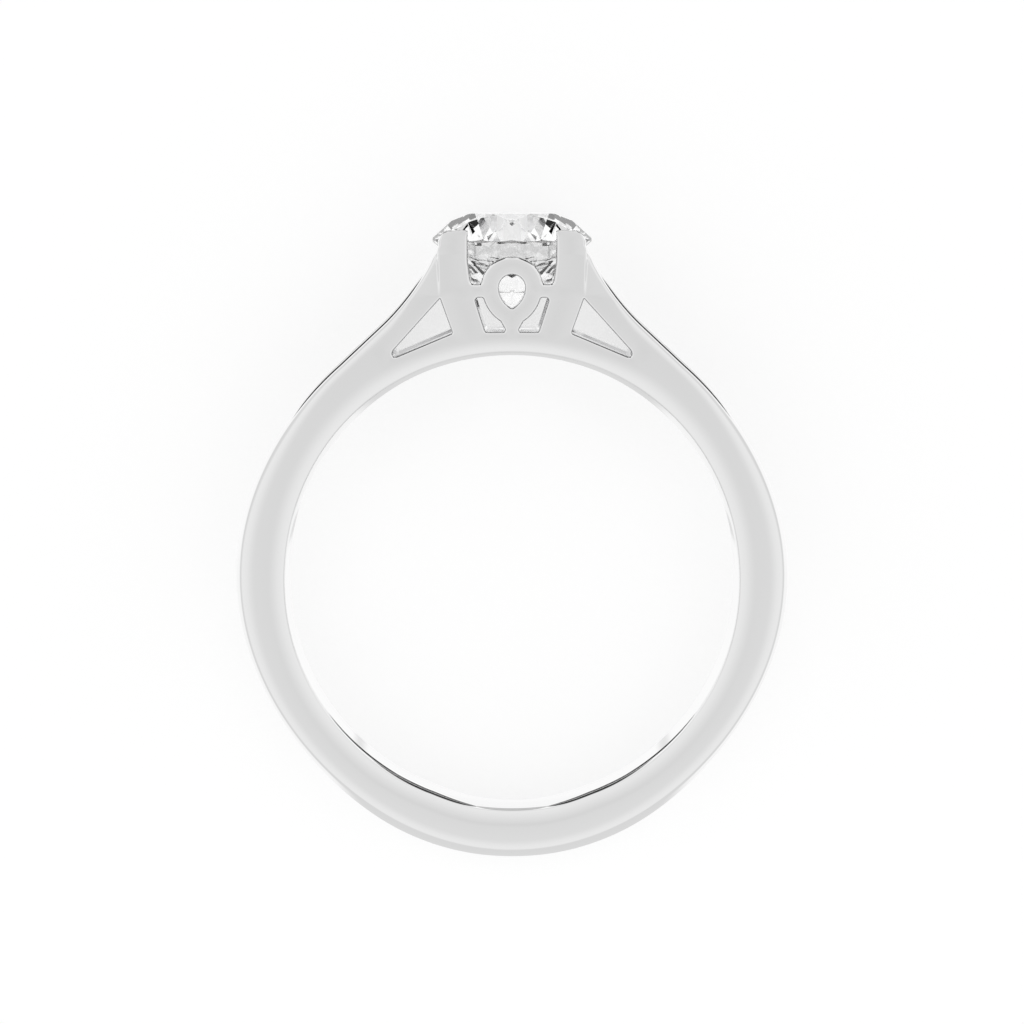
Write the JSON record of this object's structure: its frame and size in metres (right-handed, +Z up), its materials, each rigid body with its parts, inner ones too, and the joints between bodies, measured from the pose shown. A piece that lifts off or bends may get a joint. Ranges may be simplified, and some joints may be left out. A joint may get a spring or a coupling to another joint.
{
  "type": "split shank solitaire ring",
  "caption": "Polished white metal ring whose band widens and splits into two forked strands that carry a pierced four-prong head with one round brilliant stone.",
  "frame": {"origin": "centre of the bottom of the ring's bounding box, on the surface that the ring lies on", "axes": "the ring lies on its back side face: +Y points from the palm side to the stone, +Z up from that face, +X across the finger"},
  "size_m": [0.0202, 0.0237, 0.006],
  "materials": {
    "metal": "polished",
    "stone": "polished facets"
  },
  "bodies": {
    "root": {"ring_mount": "metal", "centre_stone": "stone"}
  },
  "joints": []
}
